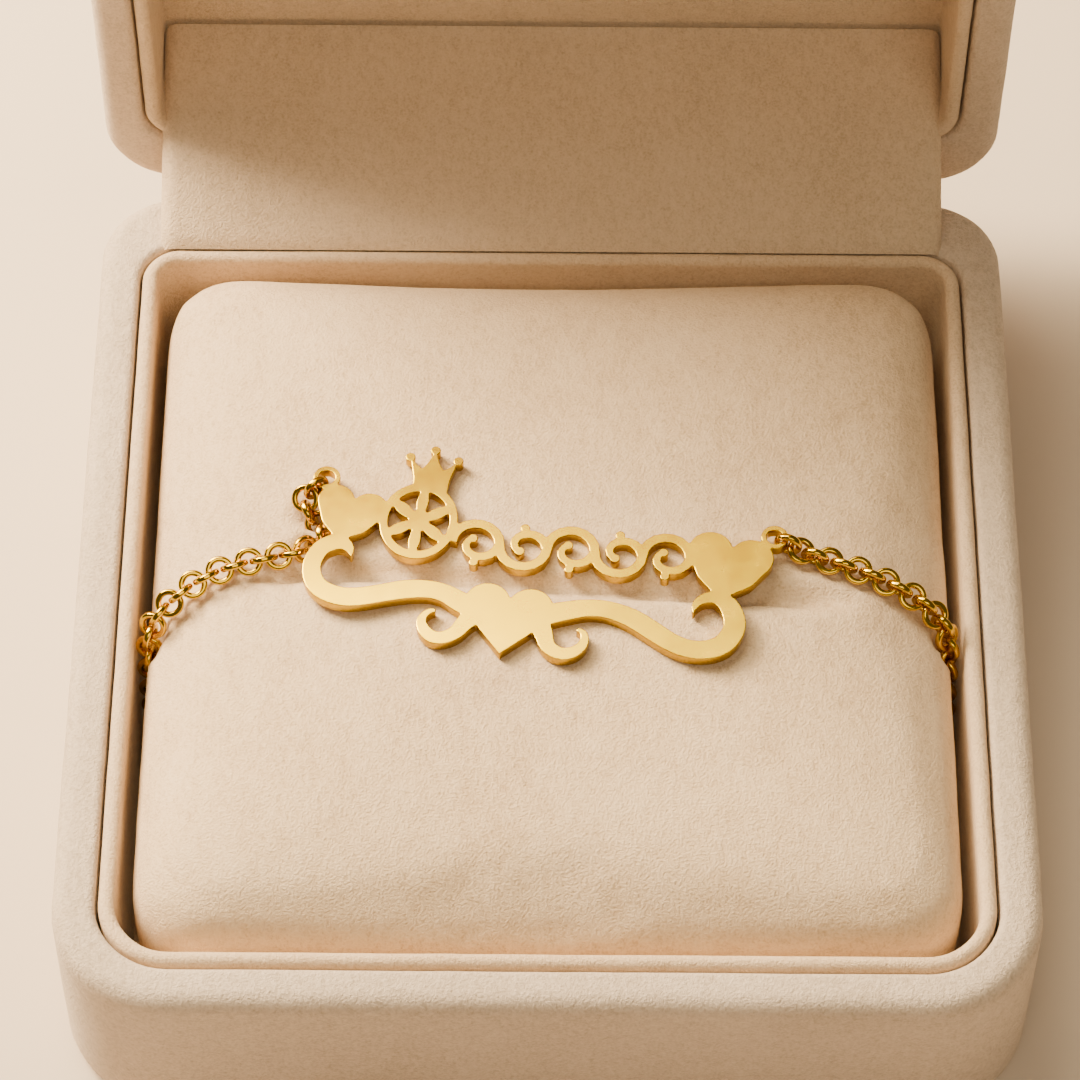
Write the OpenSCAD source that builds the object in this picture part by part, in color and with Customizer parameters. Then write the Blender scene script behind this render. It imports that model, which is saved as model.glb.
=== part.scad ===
// Nameplate bracelet wrapped round a pillow in an open jewellery box.
// Millimetres. The origin is on the underside of the box, under the centre of the pillow.
// +X is to the right, +Y to the back and +Z up; the box is shown open, with its lid upright at the back.

/* [Box] */
// Outer width of the box
box_w = 90.4; // [84:0.2:100]
// Height of the base, from the underside to the rim
base_h = 21; // [20:0.5:28]
// Depth of the lid, from its rim to its outer face
lid_h = 14; // [13:0.5:20]
// Width of the rim at the front and the sides
rim_w = 4; // [3:0.1:6]
// Width of the rim at the back, where the hinge sits
back_rim_w = 6.7; // [6:0.1:9]
// Radius of the outer corners at the front
corner_front = 11; // [9:0.5:14]
// Radius of the outer corners at the back
corner_back = 7.5; // [6:0.5:10]
// Radius of the rolled outer edge of the rim
rim_roll = 1.8; // [0.5:0.1:1.9]
// Radius of the edge round the underside
foot_roll = 2; // [1:0.1:2.5]
// Thickness of the floor of the base and of the top of the lid
panel_t = 2; // [1.5:0.1:2.5]

/* [Liners] */
// Radius of the well's corners at the front
well_front = 7; // [5:0.5:9]
// Radius of the well's corners at the back
well_back = 4.2; // [3.5:0.1:6]
// Seam between a shell and its liner
seam = 0.15; // [0.1:0.05:0.4]
// Thickness of a liner's wall, which shows as the lip
lip_t = 1.5; // [1:0.1:2]
// Thickness of the liner's floor in the base
floor_t = 1; // [0.8:0.1:1.5]
// Thickness of the lining panel in the lid
lining_t = 1.4; // [1:0.1:2]

/* [Hinge] */
// Width of the hinge across all knuckles
hinge_l = 36; // [25:1:50]
// Radius of a knuckle
knuckle_r = 1.6; // [1.4:0.1:1.9]
// Diameter of the hinge pin
pin_d = 1.2; // [0.8:0.1:1.4]
// Radial clearance between the pin and its bores
pin_clearance = 0.05; // [0.03:0.01:0.1]
// How far the hinge axis lies behind the back face
axis_back = 0.2; // [0.1:0.1:0.5]
// How far the hinge axis lies below the rim
axis_drop = 3.2; // [2.8:0.1:4]
// Gap between the two rims when the lid is closed
rim_gap = 0.3; // [0.2:0.1:0.6]
// Thickness of the lining cloth over the hinge
flap_t = 0.8; // [0.6:0.1:1]

/* [Pillow] */
// Gap between the pillow and the lip
pillow_gap = 1.2; // [0.8:0.1:2]
// Height of the pillow's crown above the rim
crown_h = 5; // [3:0.5:6]
// Radius of the pillow's corners
pillow_corner = 6; // [4:0.5:9]

/* [Nameplate] */
// Length of the plate between the centres of its two ears
plate_l = 43; // [38:1:48]
// Thickness of the plate
plate_t = 1.1; // [0.8:0.05:1.15]
// Turn of the plate on the pillow, clockwise from above
plate_turn = 9; // [0:0.5:12]
// Width of the long scroll's stroke at its widest
scroll_w = 2.1; // [1.6:0.1:2.6]
// Width of the vine's stem
stem_w = 1; // [0.8:0.05:1.3]
// Outer radius of an ear
ear_r = 1.3; // [1.25:0.05:1.35]
// Diameter of the hole in an ear
ear_hole_d = 1.6; // [1.6:0.05:1.7]
// Fillet in the plate's inner corners
fillet_r = 0.15; // [0.05:0.05:0.25]

/* [Chain] */
// Outer diameter of a link
link_d = 2.7; // [2.6:0.1:3]
// Radial thickness of a link's wire
wire_t = 0.48; // [0.44:0.02:0.52]
// Width of a link's wire
wire_w = 0.54; // [0.44:0.02:0.58]
// Play between a link and the next
link_play = 0.26; // [0.2:0.01:0.3]
// How far the chain is rolled towards the front
chain_roll = 25; // [0:5:30]
// Length of the clasp's body
clasp_l = 9; // [8:0.5:11]
// Thickness of the clasp
clasp_t = 1.1; // [0.8:0.05:1.15]

/* [Hidden] */
$fn = 64;

// The well is square, and the pillow's centre is the origin
half_w = box_w / 2;
well = half_w - rim_w;
front_y = -half_w;
back_y = well + back_rim_w;
liner_half = well - 2 * seam;
liner_front = well_front - 2 * seam;
liner_back = well_back - 2 * seam;
// Clearance between seated pieces, and how far a cutter runs past the face it cuts
slack = 0.1;
past = 1;
liner_z = panel_t + slack;
tray_z = liner_z + floor_t;

// Hinge
knuckles = 5;
knuckle_pitch = hinge_l / knuckles;
knuckle_room = 0.3;
knuckle_l = knuckle_pitch - knuckle_room;
axis_y = back_y + axis_back;
axis_z = base_h - axis_drop;
lid_rim_z = base_h + rim_gap;
lid_open = 90;
lid_liner_h = lid_h - panel_t - slack;
lining_depth = lid_liner_h - lining_t;

// Pillow
pillow_half = liner_half - lip_t - pillow_gap;
pillow_z = tray_z + slack;
side_h = base_h - pillow_z;

// Nameplate: its outlines are drawn in forty-thirds of its length
unit = plate_l / 43;
plate_gap = 0.3;
plate_z = base_h + crown_h + plate_gap;
plate_at = [0.2, 4.8];
ear_left = [-21.7, 0.05];
ear_right = [21.25, 0.25];
ear_wall = ear_r - ear_hole_d / 2;

// Chain
link_r = link_d / 2;
wire_r = link_r - wire_t / 2;
link_pitch = link_d - 2 * wire_t - link_play;
chain_gap = 0.15;
side_x = liner_half - lip_t - chain_gap - link_r;
chain_z = tray_z + chain_gap + link_r - base_h;
chain_y = -6.4;
bend_r = 5.6;
clasp_w = 3.6;
clasp_tail = 0.7;

function unit_v(v) = v / norm(v);
function turned(p, a) = [p.x * cos(a) - p.y * sin(a), p.x * sin(a) + p.y * cos(a)];

// A Catmull-Rom curve through rows of any width
function curve_at(a, b, c, d, t) =
    0.5 * (2 * b + (c - a) * t + (2 * a - 5 * b + 4 * c - d) * t * t + (3 * b - a - 3 * c + d) * t * t * t);
function curve(rows, steps) = [
    for (i = [0 : len(rows) - 2], j = [0 : steps - 1])
        curve_at(rows[max(i - 1, 0)], rows[i], rows[i + 1], rows[min(i + 2, len(rows) - 1)], j / steps),
    rows[len(rows) - 1]
];

// Plan of the box, with its own corner radius at the front and at the back
module plan(half, front, back, r_front, r_back) {
    for (s = [-1, 1]) {
        translate([s * (half - r_front), front + r_front]) circle(r_front);
        translate([s * (half - r_back), back - r_back]) circle(r_back);
    }
    translate([-half, front + r_front]) square([2 * half, back - front - r_front - r_back]);
    translate([r_front - half, front]) square([2 * (half - r_front), back - front - r_back]);
    translate([r_back - half, front + r_front]) square([2 * (half - r_back), back - front - r_front]);
}

// Half of a block's section, with a rolled upper edge and a rolled lower edge
module block_section(reach, h, roll, foot) {
    square([reach - foot, h - roll]);
    translate([0, foot]) square([reach - roll, h - foot]);
    translate([0, foot]) square([reach, h - roll - foot]);
    translate([reach - roll, h - roll]) circle(roll);
    translate([reach - foot, foot]) circle(foot);
}

// A block over the plan of the box, with all its outer edges rolled
module rolled_block(h, roll, foot) {
    mid_y = (front_y + back_y) / 2;
    reach_y = (back_y - front_y) / 2;
    run_y = back_y - front_y - corner_front - corner_back;
    for (s = [-1, 1]) {
        translate([s * (half_w - corner_back), back_y - corner_back, 0]) rotate(s > 0 ? 0 : 90)
            rotate_extrude(angle = 90) block_section(corner_back, h, roll, foot);
        translate([s * (half_w - corner_front), front_y + corner_front, 0]) rotate(s > 0 ? 270 : 180)
            rotate_extrude(angle = 90) block_section(corner_front, h, roll, foot);
    }
    for (side = [0, 1]) mirror([side, 0, 0])
        translate([0, front_y + corner_front + run_y, 0]) rotate([90, 0, 0])
            linear_extrude(run_y) block_section(half_w, h, roll, foot);
    translate([corner_back - half_w, mid_y, 0]) rotate([90, 0, 90])
        linear_extrude(2 * (half_w - corner_back)) block_section(reach_y, h, roll, foot);
    translate([half_w - corner_front, mid_y, 0]) rotate([90, 0, -90])
        linear_extrude(2 * (half_w - corner_front)) block_section(reach_y, h, roll, foot);
}

// Section of a liner's wall, with its outer face at x = reach and a round top, which is the lip
module lip_section(reach, h) {
    translate([reach - lip_t, 0]) square([lip_t, h - lip_t / 2]);
    translate([reach - lip_t / 2, h - lip_t / 2]) circle(lip_t / 2);
}

// A tray that fits the well: a wall with a round lip, and a floor
module liner_tray(h, floor_h) {
    run = 2 * liner_half - liner_front - liner_back;
    for (s = [-1, 1]) {
        translate([s * (liner_half - liner_back), liner_half - liner_back, 0]) rotate(s > 0 ? 0 : 90)
            rotate_extrude(angle = 90) lip_section(liner_back, h);
        translate([s * (liner_half - liner_front), liner_front - liner_half, 0]) rotate(s > 0 ? 270 : 180)
            rotate_extrude(angle = 90) lip_section(liner_front, h);
    }
    for (side = [0, 1]) mirror([side, 0, 0])
        translate([0, liner_half - liner_back, 0]) rotate([90, 0, 0])
            linear_extrude(run) lip_section(liner_half, h);
    translate([liner_back - liner_half, 0, 0]) rotate([90, 0, 90])
        linear_extrude(2 * (liner_half - liner_back)) lip_section(liner_half, h);
    translate([liner_half - liner_front, 0, 0]) rotate([90, 0, -90])
        linear_extrude(2 * (liner_half - liner_front)) lip_section(liner_half, h);
    linear_extrude(floor_h) plan(liner_half, -liner_half, liner_half, liner_front, liner_back);
}

// One cylinder on the hinge axis, at the place of knuckle i
module on_axis(i, r, l) {
    translate([(i - (knuckles - 1) / 2) * knuckle_pitch, axis_y, axis_z]) rotate([0, 90, 0])
        cylinder(r = r, h = l, center = true);
}

// The bore for the hinge pin, through every knuckle
module pin_bore() {
    on_axis((knuckles - 1) / 2, pin_d / 2 + pin_clearance, hinge_l + 2 * past);
}

// Turns the closed lid about the hinge axis to where it stands open
module opened() {
    translate([0, axis_y, axis_z]) rotate([-lid_open, 0, 0]) translate([0, -axis_y, -axis_z]) children();
}

// Base shell with its outer knuckles and the pockets for the lid's knuckles
module box_base() color("#d9c4ae") difference() {
    union() {
        rolled_block(base_h, rim_roll, foot_roll);
        for (i = [0 : 2 : knuckles - 1]) on_axis(i, knuckle_r, knuckle_l);
    }
    translate([0, 0, panel_t]) linear_extrude(base_h)
        plan(well, -well, well, well_front, well_back);
    for (i = [1 : 2 : knuckles - 1]) {
        on_axis(i, knuckle_r + knuckle_room, knuckle_pitch);
        translate([(i - (knuckles - 1) / 2 - 0.5) * knuckle_pitch, axis_y - knuckle_r - knuckle_room, axis_z])
            cube([knuckle_pitch, knuckle_r + knuckle_room + past, base_h]);
    }
    pin_bore();
}

module base_liner() color("#e2c7a6") translate([0, 0, liner_z]) liner_tray(base_h - liner_z, floor_t);

// Lid shell with its two knuckles, which reach down from its back wall
module box_lid() color("#cdb59c") opened() difference() {
    union() {
        translate([0, 0, lid_rim_z]) rolled_block(lid_h, foot_roll, rim_roll);
        for (i = [1 : 2 : knuckles - 1]) {
            on_axis(i, knuckle_r, knuckle_l);
            translate([(i - (knuckles - 1) / 2) * knuckle_pitch - knuckle_l / 2, axis_y - knuckle_r, axis_z])
                cube([knuckle_l, knuckle_r - axis_back, axis_drop + rim_gap + rim_roll]);
        }
    }
    translate([0, 0, lid_rim_z - past]) linear_extrude(lid_h - panel_t + past)
        plan(well, -well, well, well_front, well_back);
    pin_bore();
}

// The flap runs straight from the seam of the base up to the lid's lining
flap_gap = 0.25;
flap_y = well + seam;
flap_z = base_h + slack;
flap_end = axis_y + axis_drop + rim_gap + lining_depth - flap_gap;
flap_slope = 23.5;
flap_half = liner_half - lip_t - flap_gap;
flap_headroom = 6;

// A band as wide as the flap, with room below and above its underside
module flap_band(half, below, above) {
    low = flap_z - below;
    high = flap_z + above;
    rise = (flap_end - flap_y) * tan(flap_slope);
    translate([-half, 0, 0]) rotate([90, 0, 90]) linear_extrude(2 * half)
        polygon([[flap_y, low], [flap_end, low + rise], [flap_end, high + rise], [flap_y, high]]);
}

module hinge_flap() color("#dcbf9b") flap_band(flap_half, 0, flap_t);

// The lid's lip and lining, cut away along the hinge where the flap passes
module lid_liner() color("#c9a67c") difference() {
    opened() translate([0, 0, lid_rim_z + lid_liner_h]) mirror([0, 0, 1]) liner_tray(lid_liner_h, lining_t);
    flap_band(flap_half + slack, flap_gap, flap_headroom);
}

module hinge_pin() color("#b0a48c") on_axis((knuckles - 1) / 2, pin_d / 2, hinge_l);

// Pillow: columns are the height, as a share of the side's height below the rim or of the crown above it,
// and the inset from the pillow's widest outline, as a share of its half width
SIDE = [[0, 0.03], [0.04, 0.01], [0.12, 0], [0.78, 0], [0.9, 0.012], [0.97, 0.03]];
CROWN = [[0.1, 0.06], [0.34, 0.11], [0.52, 0.19], [0.68, 0.3], [0.82, 0.46], [0.92, 0.64], [0.98, 0.82],
    [1, 0.94]];
pillow_rows = concat(
    [for (r = SIDE) [pillow_z + r[0] * side_h, r[1]]],
    [for (r = CROWN) [base_h + r[0] * crown_h, r[1]]]
);
ring_arc = 6;
ring_n = 4 * (ring_arc + 1);

// One level ring of the pillow; its corners grow rounder towards the crown's middle
function pillow_ring(row) =
    let (half = pillow_half * (1 - row[1]), r = pillow_corner * (1 - row[1]) + half * row[1] * row[1])
    [for (q = [0 : 3], i = [0 : ring_arc])
        let (a = 90 * (q + i / ring_arc), c = half - r, d = q * 90 + 45)
        [c * sign(cos(d)) + r * cos(a), c * sign(sin(d)) + r * sin(a), row[0]]];

module pillow_form() {
    rings = len(pillow_rows);
    polyhedron(
        points = [for (row = pillow_rows) each pillow_ring(row)],
        faces = concat(
            [[for (i = [0 : ring_n - 1]) i]],
            [for (k = [0 : rings - 2], i = [0 : ring_n - 1])
                let (j = (i + 1) % ring_n, low = k * ring_n, high = low + ring_n)
                    [low + i, high + i, high + j, low + j]],
            [[for (i = [ring_n - 1 : -1 : 0]) (rings - 1) * ring_n + i]]
        )
    );
}

// Height of the pillow's top above the rim, at a distance from its middle
function pillow_top(x) = crown_h * lookup(1 - abs(x) / pillow_half, [for (r = CROWN) [r[1], r[0]]]);

// Room for the chain round the pillow: across the underside, round the bends and up both sides,
// where it widens towards the back because the chain comes down slantwise
chain_room = link_d + 1;
channel_h = link_d + 3 * chain_gap;
channel_slant = 1.8;
channel_top = base_h + 1.3;
channel_edge = side_x - link_r - 4 * chain_gap;
bend_room = (bend_r - link_r) * sqrt(0.5);

// Dent that the chain presses into the pillow under the left heart, between places measured from the ear
DENT_FROM_EAR = [[-1.9, -1.7], [-0.3, -5.1], [-2, -7.7]];
dent_depth = 3.1;

module chain_channel() {
    translate([-half_w, chain_y - chain_room / 2, tray_z]) cube([box_w, chain_room, channel_h]);
    translate([-clasp_l, chain_y - clasp_w / 2 - past, tray_z])
        cube([2 * clasp_l, clasp_w + 2 * past, channel_h]);
    for (side = [-1, 1]) {
        translate([side > 0 ? channel_edge : -channel_edge - half_w, chain_y - chain_room / 2, tray_z])
            cube([half_w, chain_room + channel_slant, channel_top - tray_z]);
        translate([side * (channel_edge + slack), chain_y, tray_z + channel_h - slack]) rotate([90, 45, 0])
            cube([bend_room, bend_room, chain_room], center = true);
    }
    hull() for (from_ear = DENT_FROM_EAR) {
        at = ear_at(ear_left) + from_ear;
        translate([at.x, at.y, base_h + crown_h - dent_depth]) cylinder(r = chain_room / 2, h = crown_h);
    }
}

module pillow() color("#efd9bf") difference() {
    pillow_form();
    chain_channel();
}

// A stroke of changing width along rows of [x, y, width]
module stroke(rows, steps = 3) {
    p = curve(rows, steps);
    n = len(p);
    side = [for (i = [0 : n - 1])
        let (ahead = p[min(i + 1, n - 1)], behind = p[max(i - 1, 0)],
            d = unit_v([ahead.x - behind.x, ahead.y - behind.y]))
        [-d.y, d.x] * p[i][2] / 2];
    polygon(concat(
        [for (i = [0 : n - 1]) [p[i].x, p[i].y] + side[i]],
        [for (i = [n - 1 : -1 : 0]) [p[i].x, p[i].y] - side[i]]
    ));
}

// A heart with its point at the origin: each half runs from a round lobe over a belly down to the point.
// Places and radii are shares of its size
heart_lobe = [0.42, 1.1];
heart_lobe_r = 0.44;
heart_belly = [0.2, 0.7];
module heart(s, belly_r) {
    for (side = [-1, 1]) scale([side * s, s]) hull() {
        translate(heart_lobe) circle(heart_lobe_r, $fn = 48);
        translate(heart_belly) circle(belly_r, $fn = 48);
        circle(0.02, $fn = 8);
    }
}

// A crown with three spikes and their balls
module crown() {
    spikes = [[-2.3, 3.3], [0, 4.3], [2.3, 3.3]];
    ball_r = 0.48;
    polygon([[-1.65, -0.5], [-1.75, 1], spikes[0], [-1.55, 2.45], [-1.05, 2.05], [-0.6, 2.7], spikes[1],
        [0.6, 2.7], [1.05, 2.05], [1.55, 2.45], spikes[2], [1.75, 1], [1.65, -0.5]]);
    for (p = spikes) translate(p) circle(ball_r, $fn = 24);
}

// Pierced rosette under the crown: an upright ring round six petals
module rosette() {
    petals = 6;
    ring_r = 3.3;
    ring_w = 0.8;
    hub_r = 0.8;
    height = 1.18;
    petal = [[0.3, 0, 0.5], [1.1, 0, 0.95], [2, 0, 1.15], [2.8, 0, 0.8], [3.3, 0, 0.5]];
    scale([1, height]) {
        difference() {
            circle(ring_r + ring_w / 2, $fn = 48);
            circle(ring_r - ring_w / 2, $fn = 40);
        }
        for (i = [0 : petals - 1]) rotate(90 + 360 * i / petals) stroke(petal, 2);
        circle(hub_r, $fn = 18);
    }
}

// Pierced vine: arches that open upwards and downwards in turn, each with a curl inside and a bud outside;
// CURL gives the stem's distance from the middle as a share of the arch
vine_waves = 5;
vine_arch = 2.25;
vine_tip_r = 0.48;
vine_bud_r = 0.45;
CURL = [[-240, 0.27], [-180, 0.36], [-90, 0.62], [0, 1], [180, 1]];
CURL_WIDTH = [[-240, 0.65], [0, 1]];
module vine() {
    for (k = [0 : vine_waves - 1]) translate([vine_arch * (2 * k + 1), 0]) mirror([0, k % 2]) {
        stroke([for (a = [180 : -20 : -240])
            [vine_arch * lookup(a, CURL) * cos(a), vine_arch * lookup(a, CURL) * sin(a),
                stem_w / unit * lookup(a, CURL_WIDTH)]], 1);
        tip = CURL[0];
        translate(tip[1] * vine_arch * [cos(tip[0]), sin(tip[0])]) circle(vine_tip_r, $fn = 16);
        translate([0, -lookup(-90, CURL) * vine_arch - 0.75]) circle(vine_bud_r, $fn = 16);
    }
}

// The long scroll below: rows of position in units, and of width as a share of scroll_w
LEFT_SCROLL = [[-17.75, -8.5, 0.05], [-17.95, -7.8, 0.38], [-18.6, -7.2, 0.68], [-19.6, -7.15, 0.85],
    [-20.7, -8.05, 0.84], [-21.2, -9.7, 0.83], [-20.9, -11.3, 0.86], [-19.9, -12.5, 0.93],
    [-18.1, -13.05, 0.98], [-16.3, -12.85, 0.98], [-14.2, -12.1, 0.96], [-12, -11.3, 1], [-10, -10.95, 0.95],
    [-8.3, -11.15, 0.95], [-6.6, -11.9, 1.05], [-4.6, -12.6, 1.1]];
RIGHT_SCROLL = [[14.85, -9.5, 0.05], [14.95, -8.65, 0.33], [15.5, -7.85, 0.5], [16.6, -7.45, 0.66],
    [17.9, -8, 0.88], [18.75, -9.5, 0.98], [18.8, -11, 1], [18.05, -12.5, 1], [16.7, -13.3, 0.98],
    [15, -13.5, 0.95], [13.3, -13.05, 0.95], [11.4, -12.05, 0.98], [9.3, -11, 0.98], [7, -10.45, 0.92],
    [5, -10.6, 0.92], [3.2, -11.2, 1], [0.8, -12.2, 1.1]];
LEFT_CURL = [[-4.9, -12.6, 1.1], [-5.9, -14, 0.84], [-6.6, -15.25, 0.7], [-7.6, -16, 0.66],
    [-8.6, -16.1, 0.64], [-9.5, -15.5, 0.56], [-9.95, -14.6, 0.45], [-9.8, -13.8, 0.35], [-9.3, -13.28, 0.27],
    [-8.85, -13.2, 0.17]];
RIGHT_CURL = [[0.6, -12.4, 1.1], [1.5, -14.1, 0.84], [2.1, -15.35, 0.7], [3.2, -15.95, 0.66],
    [4.3, -15.75, 0.6], [5.1, -15, 0.5], [5.35, -14.1, 0.4], [5.1, -13.35, 0.31], [4.5, -13.08, 0.17]];

module scroll_stroke(rows) {
    stroke([for (r = rows) [r[0], r[1], r[2] * scroll_w / unit]]);
}

// Hearts of the plate: place of the point, turn, size, and the belly's radius as a share of it
HEARTS = [[[-19.3, -6.9], -8, 3.95, 0.44], [[17.1, -7.5], -4, 4.7, 0.44], [[-2.2, -16.8], 0, 4.85, 0.36]];
// Place and turn of the ornaments between the hearts
CROWN_AT = [[-11.8, 0.55], 3];
ROSETTE_AT = [[-12.2, -3.45], 0];
VINE_AT = [[-8.7, -5.25], 4.3];

module put(place) {
    translate(place[0]) rotate(place[1]) children();
}

// Outline of the plate before its ears are drilled
module plate_outline() {
    scale([unit, unit]) {
        for (rows = [LEFT_SCROLL, RIGHT_SCROLL, LEFT_CURL, RIGHT_CURL]) scroll_stroke(rows);
        for (h = HEARTS) put(h) heart(h[2], h[3]);
        put(CROWN_AT) crown();
        put(ROSETTE_AT) rosette();
        put(VINE_AT) vine();
    }
    for (ear = [ear_left, ear_right]) translate(unit * ear) circle(ear_r, $fn = 36);
}

module on_pillow() {
    translate([plate_at.x, plate_at.y, plate_z]) rotate(-plate_turn) children();
}

module nameplate() color("#e3b94f") on_pillow() difference() {
    linear_extrude(plate_t) offset(r = -fillet_r, $fn = 12) offset(delta = fillet_r) plate_outline();
    for (ear = [ear_left, ear_right])
        translate([unit * ear.x, unit * ear.y, -past]) cylinder(d = ear_hole_d, h = plate_t + 2 * past);
}

// How far the first link's centre stands out from the middle of the wall it hooks round
hook_out = 0.28;
hook_reach = ear_r - ear_wall / 2 + hook_out;

function ear_at(ear) = plate_at + turned(unit * ear, -plate_turn);
function hooked(ear, next) =
    let (e = ear_at(ear), p = e + hook_reach * unit_v([next.x, next.y] - e)) [p.x, p.y, plate_middle];

// Start of each chain beside the plate: x and y from the ear, and height from the middle of the plate
plate_middle = plate_z - base_h + plate_t / 2;
LEFT_START = [[-2.05, -1.75, -0.8], [-1.5, -2.9, -1.6], [-0.65, -3.8, -2.15], [-0.3, -5, -2.3], [-0.75, -6.2, -1.95]];
function beside(ear, rows) = [for (r = rows) [ear_at(ear).x + r.x, ear_at(ear).y + r.y, plate_middle + r.z]];

// Way of each chain over the pillow: share of the way across from the ear to the side, distance behind
// chain_y, and height of the links' underside over the pillow's top, or over its edge once past it
LEFT_WAY = [[0.21, 6.8, -0.03], [0.301, 6.3, 0.19], [0.404, 6.1, 0.22], [0.567, 5.5, 0.235],
    [0.719, 4.5, 0.235], [0.852, 3.2, 0.3], [0.955, 2, -1], [0.997, 1.3, -3.4], [1, 0.6, -6], [1, 0, -10]];
RIGHT_WAY = [[0.204, 7, 0.05], [0.374, 6.15, 0.125], [0.561, 5.2, 0.165], [0.737, 4, 0.175],
    [0.876, 2.9, 0.32], [0.967, 1.9, -1.45], [1, 1.2, -4], [1, 0.5, -7], [1, 0, -10.5]];
function over_pillow(side, ear, rows) = [for (r = rows)
    let (from = abs(ear_at(ear).x), x = from + (side_x - from) * r.x)
    [side * x, chain_y + r.y, pillow_top(x) + link_r + r.z]];

// From the side round the bend and along the floor to x
function under_way(side, x) = concat(
    [for (a = [0 : 30 : 90])
        [side * (side_x - bend_r + bend_r * cos(a)), chain_y, chain_z + bend_r - bend_r * sin(a)]],
    [[side * side_x / 2, chain_y, chain_z], [x, chain_y, chain_z]]
);
clasp_x = clasp_l / 2;
left_top = concat(beside(ear_left, LEFT_START), over_pillow(-1, ear_left, LEFT_WAY));
right_top = over_pillow(1, ear_right, RIGHT_WAY);
left_path = concat([hooked(ear_left, left_top[0])], left_top,
    under_way(-1, -clasp_x - clasp_tail - hook_reach));
right_path = concat([hooked(ear_right, right_top[0])], right_top,
    under_way(1, clasp_x - ear_wall / 2 + hook_out));

function run_lengths(p) = [for (i = 0, s = 0; i < len(p);
    s = s + norm(p[min(i + 1, len(p) - 1)] - p[i]), i = i + 1) s];
function along(p, runs, s) = [for (k = [0 : 2]) lookup(s, [for (i = [0 : len(p) - 1]) [runs[i], p[i][k]]])];

// Centres of the links, evenly spaced and odd in number, so that both ends hook in upright
function link_centres(path) =
    let (p = curve(path, 10), runs = run_lengths(p), total = runs[len(runs) - 1],
        last = 2 * ceil(total / (2 * link_pitch)))
    [for (i = [0 : last]) along(p, runs, total * i / last)];
function link_tangents(c) =
    [for (i = [0 : len(c) - 1]) unit_v(c[min(i + 1, len(c) - 1)] - c[max(i - 1, 0)])];

// The upward direction, carried along the chain without twisting
function link_ups(t) = [for (i = 0, u = [0, 0, 1]; i < len(t);
    i = i + 1, u = i < len(t) ? unit_v(u - (u * t[i]) * t[i]) : u) unit_v(u - (u * t[i]) * t[i])];

ring_sides = 12;
wire_sides = 5;

// Points of one link: a ring of wire in the plane of e1 and e2
function link_points(c, e1, e2, e3) = [for (j = [0 : ring_sides - 1], k = [0 : wire_sides - 1])
    let (a = 360 * j / ring_sides, q = 360 * k / wire_sides, out = cos(a) * e1 + sin(a) * e2)
    c + (wire_r + wire_t / 2 * cos(q)) * out + wire_w / 2 * sin(q) * e3];

function link_faces(first) = [for (j = [0 : ring_sides - 1], k = [0 : wire_sides - 1])
    let (j2 = (j + 1) % ring_sides, k2 = (k + 1) % wire_sides)
    [for (v = [[j, k], [j, k2], [j2, k2], [j2, k]]) first + v[0] * wire_sides + v[1]]];

// All links of one chain as loose rings, each turned a quarter against the last; ROLL gives the share of
// the roll at a share of the chain's length
LEFT_ROLL = [[0.08, 0], [0.15, 1], [0.35, 1], [0.5, 0]];
RIGHT_ROLL = [[0, 0], [0.1, 1], [0.35, 1], [0.5, 0]];
module chain(path, ROLL) {
    c = link_centres(path);
    t = link_tangents(c);
    up = link_ups(t);
    n = len(c);
    // A small even twist brings the last link upright again, for the clasp
    twist = atan2(-cross(t[n - 1], up[n - 1]).z, -up[n - 1].z);
    links = [for (i = [0 : n - 1])
        let (roll = chain_roll * lookup(i / (n - 1), ROLL) + twist * i / (n - 1),
            u0 = up[i], b0 = cross(t[i], u0),
            u = cos(roll) * u0 + sin(roll) * b0, b = cross(t[i], u))
        i % 2 == 0 ? link_points(c[i], t[i], u, cross(t[i], u)) : link_points(c[i], t[i], b, cross(t[i], b))];
    translate([0, 0, base_h]) polyhedron(
        points = [for (p = links) each p],
        faces = [for (i = [0 : n - 1]) each link_faces(i * ring_sides * wire_sides)]
    );
}

module chain_left() color("#dcae45") chain(left_path, LEFT_ROLL);
module chain_right() color("#dcae45") chain(right_path, RIGHT_ROLL);

// A plain clasp: a long body with an opening at one end and an eye at the other
module clasp() color("#dcae45") translate([0, chain_y, base_h + chain_z - clasp_t / 2])
    linear_extrude(clasp_t) difference() {
        union() {
            for (s = [-1, 1]) translate([s * (clasp_x - clasp_w / 2), 0]) circle(clasp_w / 2);
            translate([clasp_w / 2 - clasp_x, -clasp_w / 2]) square([clasp_l - clasp_w, clasp_w]);
            translate([-clasp_x - clasp_tail, 0]) circle(ear_r);
        }
        slot_r = clasp_w / 2 - ear_wall;
        for (x = [0, clasp_x - clasp_w / 2]) translate([x, 0]) circle(slot_r);
        translate([0, -slot_r]) square([clasp_x - clasp_w / 2, 2 * slot_r]);
        translate([-clasp_x - clasp_tail, 0]) circle(d = ear_hole_d);
    }

nameplate();
chain_left();
chain_right();
clasp();
pillow();
base_liner();
box_base();
box_lid();
lid_liner();
hinge_flap();
hinge_pin();
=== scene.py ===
"""A pierced nameplate bracelet round the pillow of an open jewellery box, dressed for the studio.

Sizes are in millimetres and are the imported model's own; metres() takes them to Blender.
"""
import math

import bmesh
import bpy
import numpy as np
from mathutils import Matrix, Vector, noise


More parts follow.
